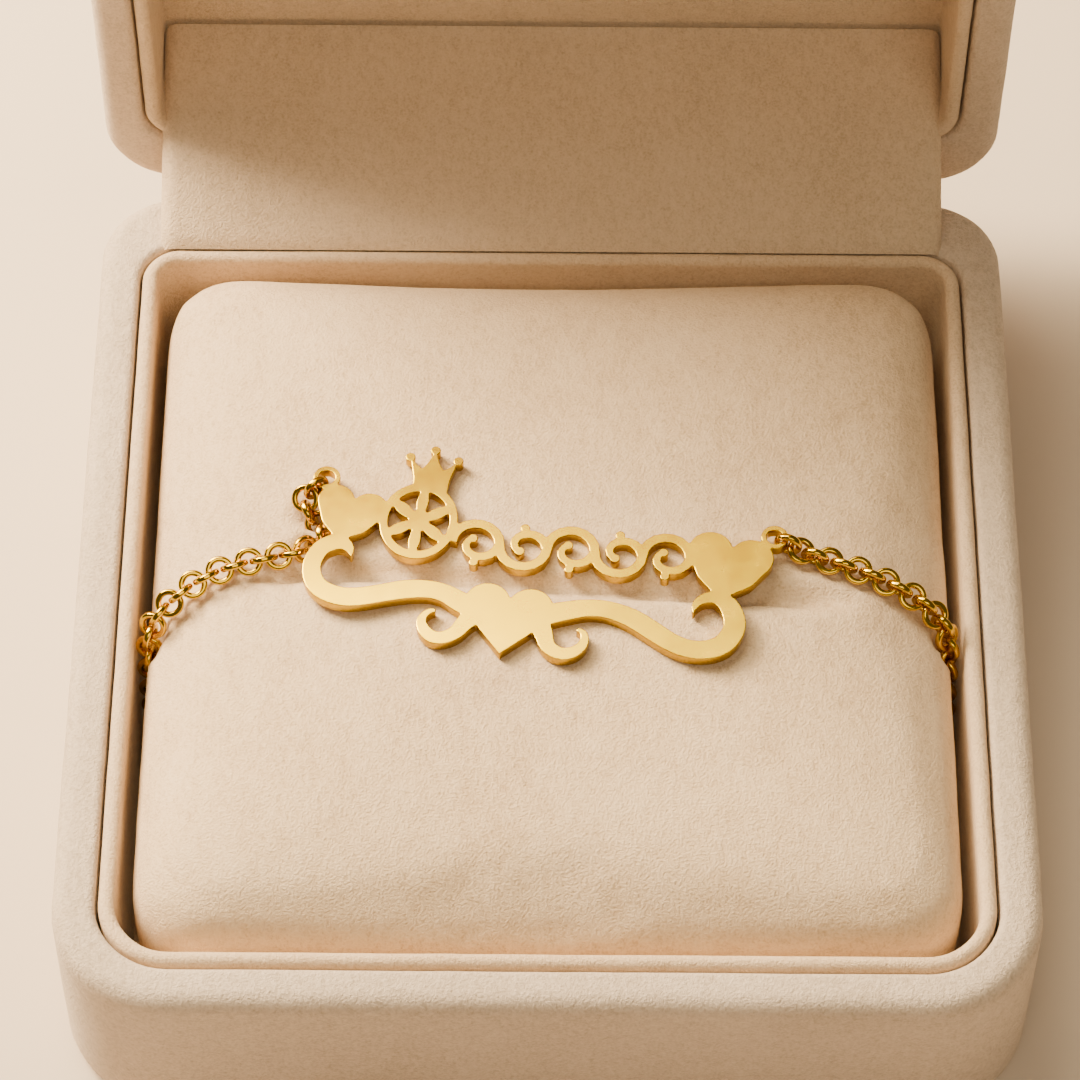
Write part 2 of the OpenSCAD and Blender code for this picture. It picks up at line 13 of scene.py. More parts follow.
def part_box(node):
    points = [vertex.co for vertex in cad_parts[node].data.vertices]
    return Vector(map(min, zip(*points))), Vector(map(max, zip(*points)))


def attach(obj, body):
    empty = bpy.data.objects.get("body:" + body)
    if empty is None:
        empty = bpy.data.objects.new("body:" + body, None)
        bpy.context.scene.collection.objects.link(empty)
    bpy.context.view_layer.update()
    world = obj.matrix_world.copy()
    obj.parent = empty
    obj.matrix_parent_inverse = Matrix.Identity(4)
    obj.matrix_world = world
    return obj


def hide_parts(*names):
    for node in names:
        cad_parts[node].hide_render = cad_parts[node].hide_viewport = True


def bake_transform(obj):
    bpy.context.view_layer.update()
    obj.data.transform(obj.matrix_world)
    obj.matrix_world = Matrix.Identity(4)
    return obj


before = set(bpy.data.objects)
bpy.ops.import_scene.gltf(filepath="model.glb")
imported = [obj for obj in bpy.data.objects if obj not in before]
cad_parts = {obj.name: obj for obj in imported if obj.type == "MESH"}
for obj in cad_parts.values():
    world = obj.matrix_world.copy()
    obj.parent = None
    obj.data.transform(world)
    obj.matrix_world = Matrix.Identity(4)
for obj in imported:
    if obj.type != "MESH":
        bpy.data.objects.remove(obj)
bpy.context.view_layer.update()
MM = 0.001

# The box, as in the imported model
HALF_W = 45.2
BACK_Y = 47.9
BASE_H = 21.0
LID_H = 14.0
CORNER_FRONT = 11.0
CORNER_BACK = 7.5
WELL = 41.2
WELL_FRONT = 7.0
WELL_BACK = 4.2
RIM_ROLL = 1.8
FOOT_ROLL = 2.0
WELL_ROLL = 0.7
PANEL_T = 2.0
SEAM = 0.3
LIP_T = 1.5
LINER_Z = 2.1
LINING_Z = 2.1
TRAY_Z = 3.1
AXIS_Y = 48.1
AXIS_Z = 17.8
LID_RIM_Z = 21.3
LINING_T = 1.4

# The bracelet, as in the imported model
PLATE_Z = 26.3
PLATE_T = 1.1
LINK_MIDDLE_R = 1.09
LINK_R = 1.35
WIRE_T = 0.58
WIRE_W = 0.62
WIRE_ROUNDING = 0.22
PILLOW_HALF = 38.2
PILLOW_Z = 3.2
CROWN_H = 5.0

ARC_STEPS = 12
RUN_STEPS = 54

# Fixes the offsets that noise_vector draws, so that each run is the same
noise.seed_set(1)


def metres(points):
    return [tuple(c * MM for c in p) for p in points]


def keep_mesh(name, mesh):
    """Puts a mesh into the scene as a piece at the origin."""
    piece = bpy.data.objects.new(name, mesh)
    bpy.context.collection.objects.link(piece)
    return piece


def piece_from(name, points, faces):
    """A piece from points in millimetres, with its faces turned outwards."""
    mesh = bpy.data.meshes.new(name)
    mesh.from_pydata(metres(points), [], faces)
    b = bmesh.new()
    b.from_mesh(mesh)
    bmesh.ops.remove_doubles(b, verts=b.verts, dist=1e-7)
    bmesh.ops.recalc_face_normals(b, faces=b.faces)
    b.to_mesh(mesh)
    b.free()
    return keep_mesh(name, mesh)


def shade(piece, degrees=40):
    """Smooth shading, apart from edges sharper than the angle."""
    piece.data.shade_smooth()
    piece.data.set_sharp_from_angle(angle=math.radians(degrees))
    return piece


def shade_flats(piece):
    """Smooth edges round faces that stay truly flat, as on polished sheet metal."""
    piece.data.shade_smooth()
    b = bmesh.new()
    b.from_mesh(piece.data)
    for edge in b.edges:
        edge.smooth = len({abs(f.normal.z) > 0.999 for f in edge.link_faces}) == 1
    b.to_mesh(piece.data)
    b.free()
    return piece


def settle(piece):
    """Applies a piece's modifiers to its mesh."""
    bpy.context.view_layer.update()
    graph = bpy.context.evaluated_depsgraph_get()
    mesh = bpy.data.meshes.new_from_object(piece.evaluated_get(graph), depsgraph=graph)
    mesh.name = piece.name
    piece.modifiers.clear()
    if piece.type == "MESH":
        piece.data = mesh
        return piece
    name = piece.name
    bpy.data.objects.remove(piece)
    return keep_mesh(name, mesh)


def dress(piece, body, material, replaces=()):
    """Gives a finished piece its material and its body, and hides the CAD nodes that it stands for."""
    piece.data.materials.clear()
    piece.data.materials.append(material)
    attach(piece, body)
    if replaces:
        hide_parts(*replaces)
    return piece


# Camera: the photograph's angle, distance and roll

SENSOR_WIDTH = 36
LENS = 145.36
CAMERA_PLACE = (-1.10, -230.77, 366.43)
CAMERA_AIM = (-0.916, 5.552, BASE_H)
CAMERA_ROLL_DEG = 0.45


def add_camera():
    data = bpy.data.cameras.new("studio_camera")
    data.sensor_width = SENSOR_WIDTH
    data.lens = LENS
    data.clip_start = 0.01
    camera = bpy.data.objects.new("studio_camera", data)
    bpy.context.collection.objects.link(camera)
    place = Vector(CAMERA_PLACE) * MM
    aim = Vector(CAMERA_AIM) * MM
    ahead = (aim - place).normalized()
    right = ahead.cross(Vector((0, 0, 1))).normalized()
    up = right.cross(ahead)
    roll = math.radians(CAMERA_ROLL_DEG)
    x = right * math.cos(roll) + up * math.sin(roll)
    y = up * math.cos(roll) - right * math.sin(roll)
    camera.matrix_world = Matrix((
        (x.x, y.x, -ahead.x, place.x),
        (x.y, y.y, -ahead.y, place.y),
        (x.z, y.z, -ahead.z, place.z),
        (0, 0, 0, 1),
    ))
    bpy.context.scene.camera = camera


# Materials

class Finish:
    """A material being built: its principled shader and short calls for the nodes round it."""

    def __init__(self, name, **values):
        self.material = bpy.data.materials.new(name)
        self.material.use_nodes = True
        self.nodes = self.material.node_tree.nodes
        self.links = self.material.node_tree.links
        self.shader = self.nodes["Principled BSDF"]
        for socket, value in values.items():
            self.shader.inputs[socket.replace("_", " ")].default_value = value
        self.place = self.nodes.new("ShaderNodeTexCoord").outputs["Object"]

    def grain(self, scale, detail=3.0, roughness=0.55, stretch=(1, 1, 1), turn=0.0, swirl=0.0):
        """Noise of so many cells to the metre."""
        mapping = self.nodes.new("ShaderNodeMapping")
        mapping.inputs["Scale"].default_value = stretch
        mapping.inputs["Rotation"].default_value = (0, 0, math.radians(turn))
        self.links.new(self.place, mapping.inputs["Vector"])
        texture = self.nodes.new("ShaderNodeTexNoise")
        texture.inputs["Scale"].default_value = scale
        texture.inputs["Detail"].default_value = detail
        texture.inputs["Roughness"].default_value = roughness
        texture.inputs["Distortion"].default_value = swirl
        self.links.new(mapping.outputs["Vector"], texture.inputs["Vector"])
        return texture.outputs["Fac"]

    def spread(self, value, low, high, from_low=0.3, from_high=0.7):
        """Maps a value between two limits."""
        node = self.nodes.new("ShaderNodeMapRange")
        limits = {"From Min": from_low, "From Max": from_high, "To Min": low, "To Max": high}
        for socket, number in limits.items():
            node.inputs[socket].default_value = number
        self.links.new(value, node.inputs["Value"])
        return node.outputs["Result"]

    def sum(self, a, b):
        node = self.nodes.new("ShaderNodeMath")
        node.operation = "ADD"
        self.links.new(a, node.inputs[0])
        self.links.new(b, node.inputs[1])
        return node.outputs["Value"]

    def shades(self, value, stops):
        """Colour from a value, along stops of (place, colour)."""
        ramp = self.nodes.new("ShaderNodeValToRGB")
        first, last = ramp.color_ramp.elements[0], ramp.color_ramp.elements[-1]
        first.position, last.position = stops[0][0], stops[-1][0]
        first.color = (*stops[0][1], 1)
        last.color = (*stops[-1][1], 1)
        for place, colour in stops[1:-1]:
            ramp.color_ramp.elements.new(place).color = (*colour, 1)
        self.links.new(value, ramp.inputs["Fac"])
        self.links.new(ramp.outputs["Color"], self.shader.inputs["Base Color"])

    def relief(self, height, depth_mm, strength=1.0, below=None):
        """Bump of so many millimetres; a second one stacks on the first."""
        bump = self.nodes.new("ShaderNodeBump")
        bump.inputs["Distance"].default_value = depth_mm * MM
        bump.inputs["Strength"].default_value = strength
        self.links.new(height, bump.inputs["Height"])
        if below is not None:
            self.links.new(below, bump.inputs["Normal"])
        self.links.new(bump.outputs["Normal"], self.shader.inputs["Normal"])
        return bump.outputs["Normal"]


# Cells to the metre of the nap's noises, and the way in which it is brushed
CLOUD_CELLS = 46
STROKE_CELLS = 420
FUZZ_CELLS = 4200.0
VELVET_CELLS = 3600.0
PILE_SHARE = 0.4
BRUSH_DEG = 35
NAP_TINT = (1.0, 0.9, 0.78, 1)


def suede(name, colour, dark, pale, fuzz_cells=FUZZ_CELLS, brush=1.0, sheen=0.3):
    """Short nap: broad clouds, brushed strokes that lie slantwise, and fuzz at two sizes."""
    finish = Finish(name, Roughness=0.95, Specular_IOR_Level=0.12, Sheen_Weight=sheen, Sheen_Roughness=0.4,
                    Sheen_Tint=NAP_TINT)
    clouds = finish.spread(finish.grain(CLOUD_CELLS, 3), -0.2, 0.2)
    strokes = finish.grain(STROKE_CELLS, 3, 0.55, (1, 0.5, 1), BRUSH_DEG, 0.7)
    fuzz = finish.grain(fuzz_cells, 3, 0.65)
    pile = finish.grain(fuzz_cells * PILE_SHARE, 2, 0.6, (1, 0.55, 1), BRUSH_DEG)
    tone = finish.sum(finish.sum(clouds, finish.spread(strokes, -0.16 * brush, 0.16 * brush)),
                      finish.sum(finish.spread(fuzz, -0.5, 0.5), finish.spread(pile, -0.26, 0.26)))
    finish.shades(finish.spread(tone, 0, 1, -0.7, 0.7), [(0, dark), (0.5, colour), (1, pale)])
    nap = finish.relief(strokes, 0.25, 0.2 * brush)
    nap = finish.relief(pile, 0.17, 0.5, nap)
    finish.relief(fuzz, 0.18, 1.0, nap)
    return finish.material


DRIFT_CELLS = 110
GLOSS_CELLS = 420
WAVE_CELLS = 900


def polished(name, colour, deep, roughness):
    """Polished gold with faint unevenness in its gloss and surface."""
    finish = Finish(name, Metallic=1.0, Roughness=roughness, IOR=0.47)
    drift = finish.grain(DRIFT_CELLS, 2, 0.5)
    finish.shades(drift, [(0.25, deep), (0.75, colour)])
    finish.links.new(finish.spread(finish.grain(GLOSS_CELLS, 3), roughness * 0.85, roughness * 1.2),
                     finish.shader.inputs["Roughness"])
    finish.relief(finish.grain(WAVE_CELLS, 2, 0.5), 0.002, 0.3)
    return finish.material


plate_gold = polished("plate_gold", (1.0, 0.69, 0.004), (0.98, 0.66, 0.003), 0.24)
# A darker copy of the plate's gold for its walls and broken edges: painted shade, so that they look shaded
# beside the bright face
edge_gold_painted_shade = polished("edge_gold_painted_shade", (0.58, 0.385, 0.01), (0.48, 0.3, 0.006), 0.16)
chain_gold = polished("chain_gold", (0.72, 0.47, 0.025), (0.56, 0.34, 0.012), 0.15)
pin_brass = polished("pin_brass", (0.72, 0.5, 0.18), (0.58, 0.38, 0.12), 0.3)
pillow_suede = suede("pillow_suede", (0.79, 0.585, 0.37), (0.6, 0.42, 0.25), (0.87, 0.67, 0.45), brush=1.3)
liner_suede = suede("liner_suede", (0.74, 0.55, 0.36), (0.57, 0.4, 0.25), (0.82, 0.63, 0.43), brush=0.5)
lining_suede = suede("lining_suede", (0.72, 0.55, 0.375), (0.57, 0.42, 0.275), (0.8, 0.62, 0.44), brush=0.6)
shell_velvet = suede("shell_velvet", (0.64, 0.51, 0.39), (0.48, 0.375, 0.275), (0.74, 0.6, 0.47),
                     VELVET_CELLS, 0.4, 0.4)


# Rings and lofts: a ring is the plan of the box, and rings stacked in order make a shell

def plan_ring(half, front, back, r_front, r_back):
    """Points round the plan, counter-clockwise, the same number whatever its size."""
    corners = [
        (half - r_front, front + r_front, r_front, -90), (half - r_back, back - r_back, r_back, 0),
        (r_back - half, back - r_back, r_back, 90), (r_front - half, front + r_front, r_front, 180),
    ]
    arcs = [
        [(x + r * math.cos(math.radians(start + 90 * i / ARC_STEPS)),
          y + r * math.sin(math.radians(start + 90 * i / ARC_STEPS))) for i in range(ARC_STEPS + 1)]
        for x, y, r, start in corners
    ]
    ring = []
    for arc, following in zip(arcs, arcs[1:] + arcs[:1]):
        (x0, y0), (x1, y1) = arc[-1], following[0]
        ring += arc
        ring += [(x0 + (x1 - x0) * i / RUN_STEPS, y0 + (y1 - y0) * i / RUN_STEPS)
                 for i in range(1, RUN_STEPS)]
    return ring


def outer_ring(inset):
    return plan_ring(HALF_W - inset, inset - HALF_W, BACK_Y - inset,
                     CORNER_FRONT - inset, CORNER_BACK - inset)


def well_ring(inset):
    return plan_ring(WELL - inset, inset - WELL, WELL - inset, WELL_FRONT - inset, WELL_BACK - inset)


def loft(name, rings, place=None):
    """A closed shell over rings of (points, height), its first and last ring filled."""
    count = len(rings[0][0])
    points = [(x, y, z) for ring, z in rings for x, y in ring]
    if place:
        points = [place(p) for p in points]
    faces = [
        (k * count + i, k * count + (i + 1) % count, (k + 1) * count + (i + 1) % count, (k + 1) * count + i)
        for k in range(len(rings) - 1) for i in range(count)
    ]
    faces.append(tuple(range(count - 1, -1, -1)))
    faces.append(tuple((len(rings) - 1) * count + i for i in range(count)))
    return piece_from(name, points, faces)


def rolled(radius, start, end, steps=6):
    """Offsets (across, up) along a rolled edge, between two angles."""
    return [
        (radius * math.cos(math.radians(start + (end - start) * i / steps)),
         radius * math.sin(math.radians(start + (end - start) * i / steps))) for i in range(steps + 1)
    ]


def shell_rings(height, foot, rim):
    """Rings of a shell from its foot, up its wall, over its rim and down into its well."""
    rings = [(outer_ring(foot - across), foot + up) for across, up in rolled(foot, -90, 0)]
    rings += [(outer_ring(0), foot + (height - foot - rim) * k / 10) for k in range(1, 10)]
    rings += [(outer_ring(rim - across), height - rim + up) for across, up in rolled(rim, 0, 90)]
    rings += [(well_ring(-WELL_ROLL - across), height - WELL_ROLL + up)
              for across, up in rolled(WELL_ROLL, 90, 180)]
    rings.append((well_ring(0), PANEL_T))
    return rings


def liner_rings(height, floor):
    """Rings of a liner from its underside, up its outer face, over its round lip and down to its floor."""
    half_lip = LIP_T / 2
    rings = [(well_ring(SEAM), 0), (well_ring(SEAM), height - half_lip)]
    rings += [(well_ring(SEAM + half_lip - across), height - half_lip + up)
              for across, up in rolled(half_lip, 0, 180, 10)]
    rings += [(well_ring(SEAM + LIP_T), floor + 0.6), (well_ring(SEAM + LIP_T + 0.2), floor + 0.15),
              (well_ring(SEAM + LIP_T + 0.8), floor)]
    return rings


def opened(p):
    """Where a point of the closed lid stands with the lid open."""
    x, y, z = p
    return (x, AXIS_Y + z - AXIS_Z, AXIS_Z + AXIS_Y - y)


def lid_place(p):
    """From a shell drawn upright to the open lid, which is closed upside down."""
    x, y, z = p
    return opened((x, y, LID_RIM_Z + LID_H - z))


CLOTH_WANDER = 0.05
LIP_WANDER = 0.04
BROAD_WAVE = 9
SMALL_WAVE = 2.6
SMALL_SHARE = 0.7


def soften(piece, amount_mm):
    """Lets the covering cloth wander a little, so that its edges aren't ruler-straight."""
    for v in piece.data.vertices:
        broad = noise.noise_vector(v.co / (BROAD_WAVE * MM))
        small = noise.noise_vector(v.co / (SMALL_WAVE * MM))
        v.co += (broad + small * SMALL_SHARE) * amount_mm * MM
    return piece


# Hinge: knuckles of both halves on one pin

KNUCKLE_R = 1.6
KNUCKLE_BORE_R = 0.66
KNUCKLE_BREAK = 0.15
KNUCKLE_PITCH = 7.2
KNUCKLE_GAP = 0.3
BASE_KNUCKLES = (0, 2, 4)
LID_KNUCKLES = (1, 3)
MIDDLE_KNUCKLE = 2
ARM_LOW = 0.25
ARM_NEAR = 0.4
ARM_FAR = 4.2
POCKET_UP = 8
POCKET_BACK = 3


def knuckle(i):
    """A knuckle with broken edges, as rings along the hinge axis."""
    middle = (i - MIDDLE_KNUCKLE) * KNUCKLE_PITCH
    half = (KNUCKLE_PITCH - KNUCKLE_GAP) / 2
    left, right = middle - half, middle + half
    face_r = KNUCKLE_R - KNUCKLE_BREAK
    stations = [(left, KNUCKLE_BORE_R), (left, face_r), (left + KNUCKLE_BREAK, KNUCKLE_R),
                (right - KNUCKLE_BREAK, KNUCKLE_R), (right, face_r), (right, KNUCKLE_BORE_R)]
    sides = 40
    points = [
        (x, AXIS_Y + r * math.cos(math.tau * k / sides), AXIS_Z + r * math.sin(math.tau * k / sides))
        for x, r in stations for k in range(sides)
    ]
    rows = len(stations)
    faces = [
        (j * sides + k, j * sides + (k + 1) % sides,
         (j + 1) % rows * sides + (k + 1) % sides, (j + 1) % rows * sides + k)
        for j in range(rows) for k in range(sides)
    ]
    return points, faces


def join_parts(name, parts):
    points, faces = [], []
    for part_points, part_faces in parts:
        start = len(points)
        points += part_points
        faces += [tuple(start + v for v in face) for face in part_faces]
    return piece_from(name, points, faces)


def slab(low, high):
    """Points and faces of a box between two corners."""
    points = [(x, y, z) for x in (low[0], high[0]) for y in (low[1], high[1]) for z in (low[2], high[2])]
    return points, [(0, 1, 3, 2), (4, 6, 7, 5), (0, 4, 5, 1), (2, 3, 7, 6), (0, 2, 6, 4), (1, 5, 7, 3)]


def cut(piece, cutter):
    """Takes the cutter's shape out of a piece."""
    knife = piece.modifiers.new("cut", "BOOLEAN")
    knife.operation = "DIFFERENCE"
    knife.solver = "EXACT"
    knife.object = cutter
    settle(piece)
    bpy.data.objects.remove(cutter)
    return piece


def build_box():
    base = soften(loft("base_shell", shell_rings(BASE_H, FOOT_ROLL, RIM_ROLL)), CLOTH_WANDER)
    for v in base.data.vertices:
        v.co.z = max(v.co.z, 0)
    for i in LID_KNUCKLES:
        middle = (i - MIDDLE_KNUCKLE) * KNUCKLE_PITCH
        half = KNUCKLE_PITCH / 2
        room = KNUCKLE_R + KNUCKLE_GAP
        sides = 24
        turns = [math.radians(180 + 180 * k / sides) for k in range(sides + 1)]
        outline = [(AXIS_Y + POCKET_BACK, AXIS_Z + POCKET_UP), (AXIS_Y - room, AXIS_Z + POCKET_UP)]
        outline += [(AXIS_Y + room * math.cos(t), AXIS_Z + room * math.sin(t)) for t in turns]
        outline.append((AXIS_Y + POCKET_BACK, AXIS_Z))
        count = len(outline)
        points = [(x, y, z) for x in (middle - half, middle + half) for y, z in outline]
        faces = [(k, (k + 1) % count, count + (k + 1) % count, count + k) for k in range(count)]
        faces += [tuple(range(count)), tuple(range(2 * count - 1, count - 1, -1))]
        cut(base, piece_from("pocket", points, faces))
    dress(shade(base), "box", shell_velvet, ["box_base"])

    lid = soften(loft("lid_shell", shell_rings(LID_H, FOOT_ROLL, RIM_ROLL), lid_place), CLOTH_WANDER)
    dress(shade(lid), "lid", shell_velvet, ["box_lid"])

    base_knuckles = join_parts("base_knuckles", [knuckle(i) for i in BASE_KNUCKLES])
    dress(shade(base_knuckles), "box", pin_brass)
    arms = []
    for i in LID_KNUCKLES:
        middle = (i - MIDDLE_KNUCKLE) * KNUCKLE_PITCH
        half = (KNUCKLE_PITCH - KNUCKLE_GAP) / 2
        arms.append(slab((middle - half, AXIS_Y + ARM_NEAR, AXIS_Z + ARM_LOW),
                         (middle + half, AXIS_Y + ARM_FAR, AXIS_Z + KNUCKLE_R)))
    lid_knuckles = join_parts("lid_knuckles", [knuckle(i) for i in LID_KNUCKLES] + arms)
    dress(shade(lid_knuckles), "lid", pin_brass)

    rings = liner_rings(BASE_H - LINER_Z, TRAY_Z - LINER_Z)
    tray = loft("base_lip", [(ring, LINER_Z + z) for ring, z in rings])
    dress(shade(soften(tray, LIP_WANDER)), "box", liner_suede, ["base_liner"])

    rings = liner_rings(LID_H - LINING_Z, LINING_T)
    lining = loft("lid_lining", [(ring, LINING_Z + z) for ring, z in rings], lid_place)
    dress(shade(soften(lining, LIP_WANDER)), "lid", lining_suede, ["lid_liner"])


# Lining cloth over the hinge, from the base's seam up into the lid

FLAP_LINE = [(41.1, 20.75), (41.5, 21.35), (43.2, 22.4), (46.5, 24.2), (50, 26.1), (52.2, 27.1), (55, 28.2),
             (58.5, 29.6), (61.7, 30.75)]
FLAP_HALF = 39.0
FLAP_T = 0.6
FLAP_ACROSS = 156
FLAP_UP = 30
FLAP_SWAY = 0.14


def along(points, t):
    """A point at a share of the way along a line of points."""
    lengths = [math.dist(a, b) for a, b in zip(points, points[1:])]
    left = t * sum(lengths)
    for (a, b), length in zip(zip(points, points[1:]), lengths):
        if left <= length or b is points[-1]:
            share = min(1, left / length)
            return tuple(p + (q - p) * share for p, q in zip(a, b))
        left -= length


def build_flap():
    points, faces = [], []
    for j in range(FLAP_UP + 1):
        y, z = along(FLAP_LINE, j / FLAP_UP)
        for i in range(FLAP_ACROSS + 1):
            x = -FLAP_HALF + 2 * FLAP_HALF * i / FLAP_ACROSS
            sway = FLAP_SWAY * noise.noise(Vector((x / 12, j / 8, 0.5))) * math.sin(math.pi * j / FLAP_UP)
            turn = max(0, abs(x) - FLAP_HALF + 1)
            points.append((x - math.copysign(0.25 * turn * turn, x), y, z + sway - 0.9 * turn * turn))
    for j in range(FLAP_UP):
        for i in range(FLAP_ACROSS):
            a = j * (FLAP_ACROSS + 1) + i
            faces.append((a, a + 1, a + FLAP_ACROSS + 2, a + FLAP_ACROSS + 1))
    flap = piece_from("hinge_cloth", points, faces)
    if flap.data.polygons[0].normal.z < 0:
        flap.data.flip_normals()
    cloth = flap.modifiers.new("thickness", "SOLIDIFY")
    cloth.thickness = FLAP_T * MM
    cloth.offset = 1
    settle(flap)
    shade(flap)
    flap.data.materials.append(lining_suede)
    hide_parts("hinge_flap")
    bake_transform(flap)


# Chain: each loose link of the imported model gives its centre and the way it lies

def link_poses(node):
    """Centre and rotation of every link of a chain node."""
    b = bmesh.new()
    b.from_mesh(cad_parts[node].data)
    bmesh.ops.remove_doubles(b, verts=b.verts, dist=1e-7)
    unseen = set(b.verts)
    poses = []
    while unseen:
        stack = [min(unseen, key=lambda v: v.index)]
        link = []
        unseen.discard(stack[0])
        while stack:
            v = stack.pop()
            link.append(tuple(v.co))
            for edge in v.link_edges:
                other = edge.other_vert(v)
                if other in unseen:
                    unseen.discard(other)
                    stack.append(other)
        co = np.array(link)
        middle = co.mean(0)
        axes = np.linalg.svd(co - middle, full_matrices=False)[2]
        x, z = Vector(axes[0]), Vector(axes[2])
        y = z.cross(x)
        turn = Matrix((x, y, z)).transposed().to_euler()
        poses.append((tuple(middle), tuple(turn)))
    b.free()
    return poses


def link_tree(material):
    """A tree that lays one polished link on each point, turned as the point says."""
    tree = bpy.data.node_groups.new("links", "GeometryNodeTree")
    face = tree.interface
    face.new_socket("Geometry", in_out="INPUT", socket_type="NodeSocketGeometry")
    sizes = {"Link radius": LINK_MIDDLE_R * MM, "Wire thickness": WIRE_T * MM, "Wire width": WIRE_W * MM,
             "Wire rounding": WIRE_ROUNDING * MM}
    for name, value in sizes.items():
        face.new_socket(name, in_out="INPUT", socket_type="NodeSocketFloat").default_value = value
    face.new_socket("Geometry", in_out="OUTPUT", socket_type="NodeSocketGeometry")
    new, link = tree.nodes.new, tree.links.new
    given, result = new("NodeGroupInput"), new("NodeGroupOutput")
    ring = new("GeometryNodeCurvePrimitiveCircle")
    ring.inputs["Resolution"].default_value = 40
    link(given.outputs["Link radius"], ring.inputs["Radius"])
    section = new("GeometryNodeCurvePrimitiveQuadrilateral")
    link(given.outputs["Wire thickness"], section.inputs["Width"])
    link(given.outputs["Wire width"], section.inputs["Height"])
    round_off = new("GeometryNodeFilletCurve")
    round_off.mode = "POLY"
    round_off.inputs["Count"].default_value = 4
    link(section.outputs["Curve"], round_off.inputs["Curve"])
    link(given.outputs["Wire rounding"], round_off.inputs["Radius"])
    sweep = new("GeometryNodeCurveToMesh")
    link(ring.outputs["Curve"], sweep.inputs["Curve"])
    link(round_off.outputs["Curve"], sweep.inputs["Profile Curve"])
    turn = new("GeometryNodeInputNamedAttribute")
    turn.data_type = "FLOAT_VECTOR"
    turn.inputs["Name"].default_value = "turn"
    lay = new("GeometryNodeInstanceOnPoints")
    link(given.outputs["Geometry"], lay.inputs["Points"])
    link(sweep.outputs["Mesh"], lay.inputs["Instance"])
    link(turn.outputs["Attribute"], lay.inputs["Rotation"])
    real = new("GeometryNodeRealizeInstances")
    link(lay.outputs["Instances"], real.inputs["Geometry"])
    paint = new("GeometryNodeSetMaterial")
    paint.inputs["Material"].default_value = material
    link(real.outputs["Geometry"], paint.inputs["Geometry"])
    link(paint.outputs["Geometry"], result.inputs["Geometry"])
    return tree


def build_chains():
    tree = link_tree(chain_gold)
    for node in ("chain_left", "chain_right"):
        poses = link_poses(node)
        mesh = bpy.data.meshes.new(node + "_links")
        mesh.from_pydata([p for p, _ in poses], [], [])
        turns = mesh.attributes.new("turn", "FLOAT_VECTOR", "POINT")
        turns.data.foreach_set("vector", np.array([t for _, t in poses], np.float32).ravel())
        chain = keep_mesh(node + "_links", mesh)
        chain.modifiers.new("links", "NODES").node_group = tree
        settle(chain)
        b = bmesh.new()
        b.from_mesh(chain.data)
        bmesh.ops.remove_doubles(b, verts=b.verts, dist=1e-7)
        bmesh.ops.recalc_face_normals(b, faces=b.faces)
        b.to_mesh(chain.data)
        b.free()
        dress(shade(chain, 50), "box", chain_gold, [node])


# Nameplate: the imported outline again, with broken edges that catch the light, and a darker gold painted on
# its walls and broken edges as shade

def top_loops(node):
    """Closed loops of (x, y) round the top face of a flat node."""
    b = bmesh.new()
    b.from_mesh(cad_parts[node].data)
    bmesh.ops.remove_doubles(b, verts=b.verts, dist=1e-7)
    border = [e for e in b.edges if sorted(f.normal.z > 0.9 for f in e.link_faces) == [False, True]]
    near = {}
    for e in border:
        for v in e.verts:
            near.setdefault(v, []).append(e.other_vert(v))
    loops, unseen = [], set(near)
    while unseen:
        start = min(unseen, key=lambda v: v.index)
        loop, v = [], start
        while v in unseen:
            unseen.discard(v)
            loop.append((v.co.x, v.co.y))
            onward = [o for o in near[v] if o in unseen]
            if onward:
                v = onward[0]
        loops.append(loop)
    b.free()
    return loops


def plate_like(name, node, low_mm, thick_mm, edge_mm):
    """A flat piece on a node's outline, its edges rounded by edge_mm."""
    curve = bpy.data.curves.new(name, "CURVE")
    curve.dimensions = "2D"
    curve.fill_mode = "BOTH"
    curve.extrude = (thick_mm / 2 - edge_mm) * MM
    curve.bevel_depth = edge_mm * MM
    curve.bevel_resolution = 3
    curve.offset = -edge_mm * MM
    for loop in top_loops(node):
        spline = curve.splines.new("POLY")
        spline.points.add(len(loop) - 1)
        spline.points.foreach_set("co", [c for x, y in loop for c in (x, y, 0, 1)])
        spline.use_cyclic_u = True
    holder = bpy.data.objects.new(name, curve)
    bpy.context.collection.objects.link(holder)
    piece = settle(holder)
    piece.data.transform(Matrix.Translation((0, 0, (low_mm + thick_mm / 2) * MM)))
    b = bmesh.new()
    b.from_mesh(piece.data)
    bmesh.ops.remove_doubles(b, verts=b.verts, dist=1e-7)
    bmesh.ops.recalc_face_normals(b, faces=b.faces)
    b.to_mesh(piece.data)
    b.free()
    return piece


PLATE_EDGE = 0.07
CLASP_EDGE = 0.18
FACE_LEVEL = 0.75


def build_plate():
    plate = plate_like("pierced_plate", "nameplate", PLATE_Z, PLATE_T, PLATE_EDGE)
    dress(shade_flats(plate), "box", plate_gold, ["nameplate"])
    plate.data.materials.append(edge_gold_painted_shade)
    # Faces turned up get the plate's gold; walls and broken edges get the darker gold of painted shade
    for face in plate.data.polygons:
        face.material_index = 0 if face.normal.z > FACE_LEVEL else 1
    low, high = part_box("clasp")
    clasp = plate_like("clasp_body", "clasp", low[2] / MM, (high[2] - low[2]) / MM, CLASP_EDGE)
    dress(shade_flats(clasp), "box", chain_gold, ["clasp"])


# Pillow: a crowned form that is blown up a little as cloth, then pressed in where the chain lies

# Shares of the height, and how far in the ring lies there
SIDE = [(0, 0.03), (0.04, 0.01), (0.12, 0), (0.4, 0), (0.78, 0), (0.9, 0.012), (0.97, 0.03)]
CROWN = [(0.1, 0.06), (0.34, 0.11), (0.52, 0.19), (0.68, 0.3), (0.82, 0.46), (0.92, 0.64), (0.98, 0.82),
         (1, 0.94)]
PILLOW_CORNER = 6
VOXEL = 1.6
PRESSURE = 4
CLOTH_FRAMES = 20
SWELL_CAP = 0.5


